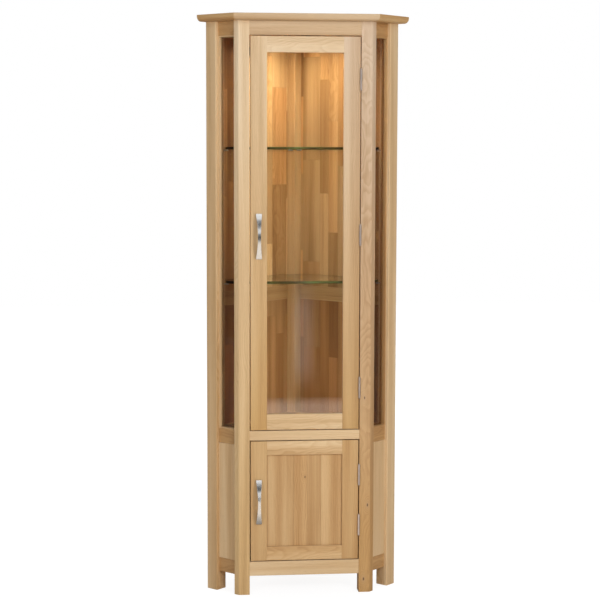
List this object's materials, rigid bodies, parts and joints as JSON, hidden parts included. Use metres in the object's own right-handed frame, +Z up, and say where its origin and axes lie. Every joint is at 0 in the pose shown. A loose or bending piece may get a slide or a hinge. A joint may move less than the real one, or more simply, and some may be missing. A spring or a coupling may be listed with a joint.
{
  "type": "corner display cupboard",
  "caption": "Oak corner display cupboard with slanted glazed sides, a tall glazed door over a panelled door, glass shelves and a light under the cornice.",
  "frame": {"origin": "on the floor, at the middle of the overall box", "axes": "+X to the right seen from the front, +Y from the front towards the corner of the room, +Z up"},
  "size_m": [0.658, 0.4356, 1.8],
  "materials": {
    "inner_oak": "satin lacquer",
    "pale_oak": "satin lacquer",
    "outer_oak": "satin lacquer",
    "door_glass": "polished",
    "shelf_glass": "polished edges",
    "steel": "satin",
    "frosted": "frosted",
    "rubber": "matte",
    "black_plastic": "matte",
    "nickel": "satin"
  },
  "bodies": {
    "carcase": {"top_board": "inner_oak", "cornice_front": "pale_oak", "cornice_left": "outer_oak", "cornice_right": "outer_oak", "front_post_left": "outer_oak", "front_post_right": "outer_oak", "side_post_left": "outer_oak", "side_post_right": "outer_oak", "rear_post": "outer_oak", "front_top_rail": "pale_oak", "front_middle_rail": "pale_oak", "front_bottom_rail": "pale_oak", "side_top_rail_left": "outer_oak", "side_top_rail_right": "outer_oak", "side_middle_rail_left": "outer_oak", "side_middle_rail_right": "outer_oak", "side_bottom_rail_left": "outer_oak", "side_bottom_rail_right": "outer_oak", "side_panel_left": "outer_oak", "side_panel_right": "outer_oak", "side_glass_left": "door_glass", "side_glass_right": "door_glass", "side_beads": "outer_oak", "back_rails": "inner_oak", "back_panel_upper_left": "inner_oak", "back_panel_upper_right": "inner_oak", "back_panel_lower_left": "inner_oak", "back_panel_lower_right": "inner_oak", "display_floor": "inner_oak", "cupboard_floor": "inner_oak", "floor_battens": "inner_oak", "glass_shelf_upper": "shelf_glass", "glass_shelf_lower": "shelf_glass", "shelf_pins": "steel", "light_housing": "steel", "light_lens": "frosted", "cable_grommet": "rubber", "magnetic_catches": "black_plastic", "hinge_frame_leaves": "nickel", "hinge_pins": "nickel", "frame_screws": "steel"},
    "upper_door": {"upper_door_stile_left": "outer_oak", "upper_door_stile_right": "outer_oak", "upper_door_top_rail": "pale_oak", "upper_door_bottom_rail": "pale_oak", "upper_door_glass": "door_glass", "upper_door_beads": "outer_oak", "upper_door_handle": "nickel", "upper_door_hinge_leaves": "nickel", "upper_door_screws": "steel", "upper_door_strike": "steel"},
    "lower_door": {"lower_door_stile_left": "outer_oak", "lower_door_stile_right": "outer_oak", "lower_door_top_rail": "pale_oak", "lower_door_bottom_rail": "pale_oak", "lower_door_panel": "outer_oak", "lower_door_handle": "nickel", "lower_door_hinge_leaves": "nickel", "lower_door_screws": "steel", "lower_door_strike": "steel"}
  },
  "joints": [
    {"name": "upper_door_hinge", "type": "hinge", "parent": "carcase", "child": "upper_door", "pos_m": [0.1705, -0.18145, 1.128], "axis": [0, 0, 1], "range_deg": [0, 150]},
    {"name": "lower_door_hinge", "type": "hinge", "parent": "carcase", "child": "lower_door", "pos_m": [0.1705, -0.18145, 0.297], "axis": [0, 0, 1], "range_deg": [0, 150]}
  ]
}
